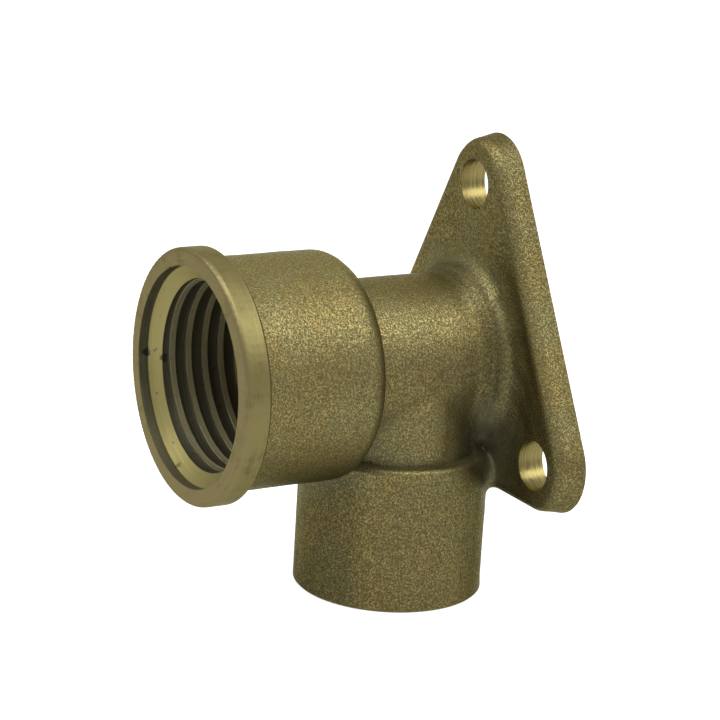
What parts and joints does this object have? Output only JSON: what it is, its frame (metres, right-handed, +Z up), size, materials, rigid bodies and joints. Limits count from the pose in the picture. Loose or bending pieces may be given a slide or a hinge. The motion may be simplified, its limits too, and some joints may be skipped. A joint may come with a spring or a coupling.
{
  "type": "wall plate elbow",
  "caption": "One-piece brass pipe elbow on a triangular wall plate, with a threaded socket facing the room and a solder cup facing down.",
  "frame": {"origin": "on the socket axis, at the wall face of the plate", "axes": "+Y goes into the wall and the socket mouth faces -Y, +Z is up and the solder cup points down -Z"},
  "size_m": [0.0384, 0.0346, 0.0468],
  "materials": {
    "brass": "blasted forging skin, machined on the collar, mouth, thread, cup bore and screw holes"
  },
  "bodies": {
    "root": {"elbow_body": "brass"}
  },
  "joints": []
}
